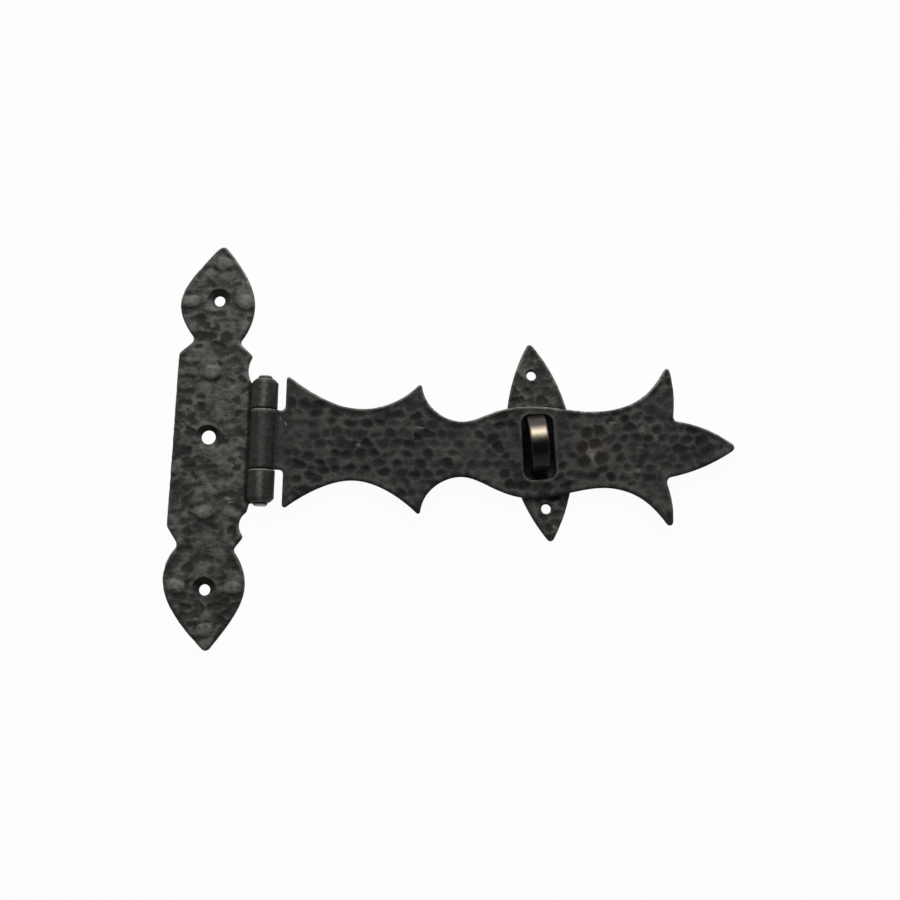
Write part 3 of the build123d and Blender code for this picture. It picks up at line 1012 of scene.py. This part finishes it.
def strap_knuckle():
    """The knuckle of the strap, closing on its sheet with a slit."""
    floor = STRAP_BACK + SHEET - PIN_Z
    roof = floor + ROLL_GAP
    turns = [(asin(roof / r), 2 * pi + asin(floor / r)) for r in (BARREL_R, BORE_R)]
    ends = (CENTRE_Y - CENTRE_HALF, CENTRE_Y + CENTRE_HALF)
    return roll_mesh(ends, (FACE_BEVEL, FACE_BEVEL), turns, CENTRE_TONES, ROLL_SEEDS[2])


def strap_piece(material):
    """Strap: hammered front with rows of round dents, slot and rolled knuckle."""
    outer, slot = strap_rims()
    dents = hammer_dents(outer, **STRAP_DENTS)
    dents = placed_dents(dents, UPPER_ROW + LOWER_ROW, ROW_DENT)
    dents = placed_dents(dents, RUST_DENTS, RUST_DENT)

    def front(points):
        edge, upward = to_edge([outer], points)
        hole, hole_upward = to_edge([slot], points)
        tab = ramp(points[:, 0], *TAB)
        free = points[:, 0] > FREE_EDGE
        dent = dent_depth(warped(points, *STRAP_WARP), dents) * ramp(hole, *SLOT_LAND) * tab
        rough = roughness_of(points, STRAP_ROUGH, STRAP_SEED) * (TAB_ROUGH + (1 - TAB_ROUGH) * tab)
        level = SHEET - STRAP_LOW - dent + rough - STRAP_DISH * ramp(edge, *DISH) * tab
        level = level - rounding(edge, STRAP_ROUND) * free - rounding(hole, SLOT_ROUND)
        level = level + blend_height(points[:, 0])
        worn, lower_edge_shade, lip_light = edge_wear_and_light(points, edge, upward, STRAP_EDGE_SEED)
        # The slot's rim: wear with a painted highlight where it faces up, and painted shade on its wall
        slot_wear_and_highlight, _, _ = edge_wear_and_light(points, hole, hole_upward, SLOT_SEED)
        tone_and_light = STRAP_TONE + mixed(STRAP_TONES, dent, rough, lip_light, 1 - tab)
        shifted = warped(points, *GLINT_WARP)
        streak = streaks(shifted, STRAP_WEAR_AND_GLINTS)
        glint = streaks(shifted, STRAP_GLINTS)
        # Wear with painted highlights on edges that face up, worn places and painted glints
        worn = strongest(STRAP_WEAR_AND_HIGHLIGHT, worn * free, slot_wear_and_highlight, streak, glint)
        rust = patch(warped(points, *RUST_WARP), *RUST_PATCH)
        return level, marks_of(tone_and_light, worn, rust, strongest(STRAP_SHADE_SHARES, lower_edge_shade, hole < NEAR))

    strap = united("hasp_strap_forged", [sheet_mesh([outer, slot], STRAP_BACK, front), strap_knuckle()])
    finished(strap, "strap", "hasp_strap", material)


def staple_plate_piece(material):
    """Leaf-shaped plate under the strap, with its rims close round the staple's leg ends."""
    outer, loops = metal_rims("staple_plate", 0.0)
    rims = [outer]
    holes = []
    for loop in loops:
        if len(loop) > ROUND_POINTS:
            holes.append(hole_of(loop))
            rims.append(circle(*holes[-1]))
        else:
            rim = turned(resampled(loop, RIM_STEP), False)
            rims.append(rim - TENON_HUG * inward(rim))
    dents = hammer_dents(outer, **LEAF_DENTS)

    def front(points):
        edge, upward = to_edge([outer], points)
        hole, _ = to_edge(rims[1:], points)
        dent = dent_depth(warped(points, *LEAF_WARP), dents) * ramp(hole, *LEAF_DENT_LAND)
        rough = roughness_of(points, LEAF_ROUGH, LEAF_SEED)
        level = SHEET - LEAF_LOW - dent + rough * ramp(hole, *LEAF_ROUGH_LAND)
        level, pit = sunk(level - rounding(edge, LEAF_ROUND), points, holes)
        worn, lower_edge_shade, lip_light = edge_wear_and_light(points, edge, upward, LEAF_EDGE_SEED)
        tone_and_light = LEAF_TONE + mixed(LEAF_TONES, dent, rough, lip_light)
        rust = LEAF_RUST_SHARE * patch(warped(points, *LEAF_RUST_WARP), *LEAF_RUST)
        # Painted shade round the staple, on edges that face down and in the countersinks
        painted_shade = strongest(LEAF_SHADE_SHARES, patch(points, *LEAF_SHADE), lower_edge_shade, pit)
        return level, marks_of(tone_and_light, LEAF_WEAR_AND_HIGHLIGHT * worn, rust, painted_shade)

    leaf = object_of("staple_plate_forged", *sheet_mesh(rims, 0.0, front))
    finished(leaf, "base", "staple_plate", material)


def rounded_ring(wide, thick, corner):
    """Clockwise points round a rounded rectangle, as across and outward distances."""
    points = []
    for i, (sx, sy) in enumerate(((1, 1), (-1, 1), (-1, -1), (1, -1))):
        for turn in np.linspace(0, pi / 2, CORNER_POINTS) + i * pi / 2:
            across = sx * (wide / 2 - corner) + corner * cos(turn)
            outward = sy * (thick / 2 - corner) + corner * sin(turn)
            points.append((across, outward))
    return np.array(points[::-1])


def staple_rings():
    """Rings along the staple from one leg's end to the other's: points, Y, Z and turn of each."""
    tenon, foot, band = (rounded_ring(*size) for size in (TENON, FOOT, BAND))
    leg = [(tenon, 0.0), (tenon, SHEET), (foot, SHEET)]
    leg += [(band, z) for z in np.linspace(SHEET + FOOT_BEVEL, SPRING_Z, LEG_RINGS)]
    rings = [(ring, HOOP_R, z, 0.0) for ring, z in leg]
    for turn in np.linspace(0, pi, HOOP_RINGS)[1:-1]:
        rings.append((band, HOOP_R * cos(turn), SPRING_Z + HOOP_R * sin(turn), turn))
    return rings + [(ring, -HOOP_R, z, pi) for ring, z in leg[::-1]]


def staple_piece(material):
    """Staple: flat band with worn rounded edges, bent to a hoop, its leg ends through the plate, with a
    painted highlight and a painted sheen on its crown and painted shade on its feet.
    """
    rings = staple_rings()
    vertices, marks = [], []
    for ring, y, z, turn in rings:
        out = ring[:, 1]
        vertices.append(np.column_stack([ring[:, 0], y + out * cos(turn), z + out * sin(turn)]))
        mark = smooth_marks(len(ring))
        # Painted sheen, a painted highlight where the key lamp's reflection falls, and painted shade on the
        # feet
        mark[:, 0] = bell(turn, *SHEEN_TURN) * (out > 0)
        mark[:, 1] = bell(turn, *HIGHLIGHT_TURN) * (out > 0)
        mark[:, 3] = fade(z - SHEET, *FOOT_SHADE_END)
        marks.append(mark)
    leaf_turn = np.array(Matrix.Rotation(LEAF_TURN, 3, "Z"))
    vertices = (np.vstack(vertices) + (*STAPLE_PLACE, 0)) @ leaf_turn.T + (*LEAF_MIDDLE, 0)
    faces = bar_faces(len(rings), len(rings[0][0]))
    staple = object_of("staple_forged", vertices, faces, np.vstack(marks))
    finished(staple, "base", "staple", material)


def pin_profile():
    """Rows along the pin from end to end: Y from its middle, and radius."""
    top_r = HEAD_R - HEAD_ROUND
    head = [(0.0, PIN_R), (0.0, HEAD_R)]
    for turn in np.linspace(0, pi / 2, HEAD_ROWS)[:-1]:
        drop = HEAD_ROUND * (1 - sin(turn)) + HEAD_SLOPE * cos(turn)
        head.append((HEAD_RISE - drop, top_r + HEAD_ROUND * cos(turn)))
    head += [(HEAD_RISE - HEAD_CROWN * (r / top_r) ** 2, r) for r in (top_r, *CROWN_RINGS)]
    lower = [(-BARREL_HALF - rise, r) for rise, r in head[::-1]]
    return lower + [(BARREL_HALF + rise, r) for rise, r in head]


def pin_piece(material):
    """Hinge pin with its two peened ends."""
    profile = pin_profile()
    turn = 2 * pi * np.arange(PIN_SIDES) / PIN_SIDES
    vertices, marks = [], []
    for y, r in profile:
        ring = np.column_stack([r * np.cos(turn), np.full(PIN_SIDES, y), r * np.sin(turn)])
        vertices.append(ring + (PIN_X, BARREL_Y, PIN_Z))
        rise = abs(y) - BARREL_HALF
        mark = smooth_marks(PIN_SIDES)
        # Worn bright ends, and painted shade on the pin inside the knuckles and just beyond them
        mark[:, 1] = PIN_WEAR * ramp(rise, *PIN_WORN)
        mark[:, 3] = BORE_SHADE * fade(rise, *PIN_SHADE_END)
        marks.append(mark)
    faces = bar_faces(len(profile), PIN_SIDES)
    pin = object_of("hinge_pin_forged", np.vstack(vertices), faces, np.vstack(marks))
    finished(pin, "base", "hinge_pin", material)


class Nodes:
    """A node tree that is added to and linked step by step."""

    def __init__(self, tree):
        self.tree = tree

    def add(self, kind):
        """A new shader node."""
        return self.tree.nodes.new("ShaderNode" + kind)

    def give(self, socket, value):
        """Link an output to a socket, or set the socket's own value."""
        if isinstance(value, bpy.types.NodeSocket):
            self.tree.links.new(value, socket)
        else:
            socket.default_value = value

    def sum(self, operation, a, b):
        """One sum on two values."""
        node = self.add("Math")
        node.operation = operation
        self.give(node.inputs[0], a)
        self.give(node.inputs[1], b)
        return node.outputs[0]

    def span(self, value, low, high, to_low=0.0, to_high=1.0):
        """A value stretched from one span to another, and held there."""
        node = self.add("MapRange")
        for socket, v in zip(node.inputs, (value, low, high, to_low, to_high)):
            self.give(socket, v)
        return node.outputs["Result"]

    def seen(self):
        """1 for what is seen, also in metal or through glass, and 0 for the light it gives."""
        rays = self.add("LightPath").outputs
        seen = self.sum("MAXIMUM", rays["Is Camera Ray"], rays["Is Glossy Ray"])
        return self.sum("MAXIMUM", seen, rays["Is Transmission Ray"])


class Finish(Nodes):
    """Nodes of one material."""

    def __init__(self, name):
        self.material = bpy.data.materials.new(name)
        self.material.use_nodes = True
        super().__init__(self.material.node_tree)
        self.shader = self.tree.nodes["Principled BSDF"]
        self.place = self.add("TexCoord").outputs["Object"]

    def mark(self, name):
        """One of the marks kept on the points."""
        node = self.add("Attribute")
        node.attribute_name = name
        return node.outputs["Fac"]

    def noise(self, size, detail, low, high, stretch=(1, 1, 1)):
        """Noise from 0 to 1, with lumps of about one size in mm."""
        mapping = self.add("Mapping")
        mapping.inputs["Scale"].default_value = [1 / s for s in stretch]
        self.give(mapping.inputs["Vector"], self.place)
        node = self.add("TexNoise")
        node.inputs["Scale"].default_value = 1 / (size * MM)
        node.inputs["Detail"].default_value = detail
        self.give(node.inputs["Vector"], mapping.outputs["Vector"])
        return self.span(node.outputs["Fac"], low, high)

    def mix(self, share, a, b):
        """Mixture of two colours."""
        node = self.add("Mix")
        node.data_type = "RGBA"
        self.give(node.inputs["Factor"], share)
        for socket, colour in ((node.inputs[6], a), (node.inputs[7], b)):
            self.give(socket, colour if isinstance(colour, bpy.types.NodeSocket) else (*colour, 1))
        return node.outputs[2]

    def bump(self, height, depth, strength, before=None):
        """Fine relief, with its depth in mm."""
        node = self.add("Bump")
        node.inputs["Distance"].default_value = depth * MM
        self.give(node.inputs["Strength"], strength)
        self.give(node.inputs["Height"], height)
        if before is not None:
            self.give(node.inputs["Normal"], before)
        return node.outputs["Normal"]

    def done(self, colour, rough, metallic, gloss, normal):
        """The material, with painted shade darkening its colour and its gloss."""
        painted_shade = self.mark("painted_shade")
        unshaded = self.span(painted_shade, 0.0, 1.0, 1.0, SHADE_GLOSS)
        inputs = self.shader.inputs
        self.give(inputs["Base Color"], self.mix(painted_shade, colour, SHADE_BLACK))
        self.give(inputs["Roughness"], rough)
        self.give(inputs["Metallic"], metallic)
        self.give(inputs["Specular IOR Level"], self.sum("MULTIPLY", gloss, unshaded))
        self.give(inputs["Normal"], normal)
        return self.material


def iron(name, dark, middle, light, shares, streak=(1, 1, 1)):
    """Blackened hammered iron: dark in the dents, paler on the ridges, bare where it is worn, with the
    painted light and shade that its marks carry.

    shares says how much the dents, the fine noise, the blotches and the grain add to its tone."""
    look = Finish(name)
    blotch, grain, fine = (look.noise(*layer, streak) for layer in (BLOTCH, GRAIN, FINE))
    tone = look.sum("MULTIPLY", look.mark("tone_and_light"), shares[0])
    for layer, share in zip((fine, blotch, grain), shares[1:]):
        tone = look.sum("ADD", tone, look.sum("MULTIPLY", layer, share))
    colour = look.mix(look.span(tone, *DARK_TO_MIDDLE), dark, middle)
    colour = look.mix(look.span(tone, *MIDDLE_TO_LIGHT), colour, light)
    rusty = look.mix(look.span(tone, *RUST_TONES), RUST_DARK, RUST_PALE)
    colour = look.mix(look.sum("MULTIPLY", look.mark("rust"), RUST_SHARE), colour, rusty)
    wear_and_highlight = look.sum("MULTIPLY", look.mark("worn"), look.span(grain, *WEAR_GRAIN))
    colour = look.mix(wear_and_highlight, colour, WORN_IRON_AND_HIGHLIGHT)
    smooth = look.mark("smooth")
    rough = look.span(grain, 0.0, 1.0, *IRON_ROUGH)
    rough = look.sum("SUBTRACT", rough, look.sum("MULTIPLY", smooth, SMOOTH_GAIN))
    metallic = look.sum("MULTIPLY", wear_and_highlight, IRON_METAL)
    gloss = look.span(tone, *IRON_GLOSS)
    relief = look.span(smooth, 0.0, 1.0, 1.0, SMOOTH_RELIEF)
    normal = look.bump(fine, FINE_DEEP, relief, look.bump(grain, GRAIN_DEEP, relief))
    return look.done(colour, rough, metallic, gloss, normal)


def black_gloss(name, dark, sheen, worn, rough):
    """Smooth blackened iron with a painted sheen and a worn place, which on the staple is a painted
    highlight, and the span of its roughness.
    """
    look = Finish(name)
    grain = look.noise(*GLOSS_GRAIN)
    wear_and_highlight = look.sum("MULTIPLY", look.mark("worn"), look.span(grain, 0.0, 1.0, GLOSS_WEAR, 1.0))
    colour = look.mix(look.mark("tone_and_light"), dark, sheen)
    colour = look.mix(wear_and_highlight, colour, worn)
    rough = look.span(grain, 0.0, 1.0, *rough)
    metallic = look.sum("MULTIPLY", wear_and_highlight, GLOSS_METAL)
    gloss = look.span(wear_and_highlight, 0.0, 1.0, *GLOSS_SHINE)
    return look.done(colour, rough, metallic, gloss, look.bump(grain, GLOSS_DEEP, 1.0))


def paper_material():
    """White paper that takes the shadow near the part and is plain white farther off."""
    paper = Finish("paper")
    paper.give(paper.shader.inputs["Base Color"], FLOOR_COLOUR)
    paper.give(paper.shader.inputs["Roughness"], FLOOR_ROUGH)
    paper.give(paper.shader.inputs["Specular IOR Level"], 0.0)
    away = paper.add("VectorMath")
    away.operation = "LENGTH"
    paper.give(away.inputs[0], paper.place)
    share = paper.span(away.outputs["Value"], *GLOW_SPAN, FLOOR_GLOW, 1.0)
    mix = paper.add("MixShader")
    paper.give(mix.inputs["Fac"], paper.sum("MULTIPLY", paper.seen(), share))
    paper.give(mix.inputs[1], paper.shader.outputs[0])
    paper.give(mix.inputs[2], paper.add("Emission").outputs[0])
    paper.give(paper.tree.nodes["Material Output"].inputs["Surface"], mix.outputs[0])
    return paper.material


def lamp(name, place, size, power):
    """Soft rectangular light that looks at the middle of the part."""
    light = bpy.data.lights.new(name, "AREA")
    light.shape = "RECTANGLE"
    light.size, light.size_y = size
    light.energy = power
    piece = placed(name, light)
    piece.location = place
    piece.rotation_euler = (MIDDLE - place).to_track_quat("-Z", "Y").to_euler()


def surround():
    """World that gives a little light from all sides, and that is seen white behind the part."""
    world = bpy.data.worlds.new("studio")
    bpy.context.scene.world = world
    world.use_nodes = True
    nodes = Nodes(world.node_tree)
    place = nodes.add("SeparateXYZ")
    nodes.give(place.inputs[0], nodes.add("TexCoord").outputs["Generated"])
    low = nodes.span(place.outputs["Z"], *HORIZON, 1.0, 0.0)
    white = nodes.sum("MULTIPLY", nodes.seen(), low)
    level = nodes.span(white, 0.0, 1.0, WORLD_LIGHT, 1.0)
    nodes.give(nodes.tree.nodes["Background"].inputs["Color"], level)


def paper_floor():
    """Round white floor."""
    turn = 2 * pi * np.arange(FLOOR_SIDES) / FLOOR_SIDES
    rim = [(FLOOR_R * cos(t), FLOOR_R * sin(t), 0.0) for t in turn]
    mesh = bpy.data.meshes.new("floor")
    mesh.from_pydata(rim, [], [tuple(range(FLOOR_SIDES))])
    mesh.materials.append(paper_material())
    floor = placed("floor", mesh)
    floor.location = (MIDDLE.x, MIDDLE.y, FLOOR_Z)


def photo_camera():
    """Camera where the photographer's was."""
    camera = bpy.data.cameras.new("camera")
    camera.sensor_width = SENSOR
    camera.lens = SENSOR * FOCAL_PX / IMAGE_PX
    camera.shift_x = -(AIM_PX[0] - IMAGE_PX / 2) / IMAGE_PX
    camera.shift_y = (AIM_PX[1] - IMAGE_PX / 2) / IMAGE_PX
    camera.clip_start = CLIP_START * MM
    eye = placed("camera", camera)
    away = Vector((0, -sin(TILT), cos(TILT))) * DISTANCE
    turn = Matrix.Rotation(TILT, 4, "X") @ Matrix.Rotation(ROLL, 4, "Z")
    eye.matrix_world = Matrix.Translation((AIM + away) * MM) @ turn
    bpy.context.scene.camera = eye


def studio():
    """White floor, soft light from the top of the picture, and the photograph's camera."""
    bpy.context.scene.view_settings.view_transform = "Standard"
    paper_floor()
    lamp("key", *KEY_LAMP)
    lamp("top", *TOP_LAMP)
    surround()
    photo_camera()


plate_iron = iron("plate_iron", *PLATE_COLOURS, PLATE_SHARES, PLATE_STRETCH)
strap_iron = iron("strap_iron", *STRAP_COLOURS, STRAP_SHARES)
pin_iron = black_gloss("pin_iron", PIN_BLACK, PIN_BLACK, PIN_BARE, PIN_ROUGH)
staple_iron = black_gloss("staple_iron", STAPLE_BLACK, STAPLE_SHEEN, STAPLE_HIGHLIGHT, STAPLE_ROUGH)
hinge_plate_piece(plate_iron)
strap_piece(strap_iron)
staple_plate_piece(plate_iron)
staple_piece(staple_iron)
pin_piece(pin_iron)
studio()
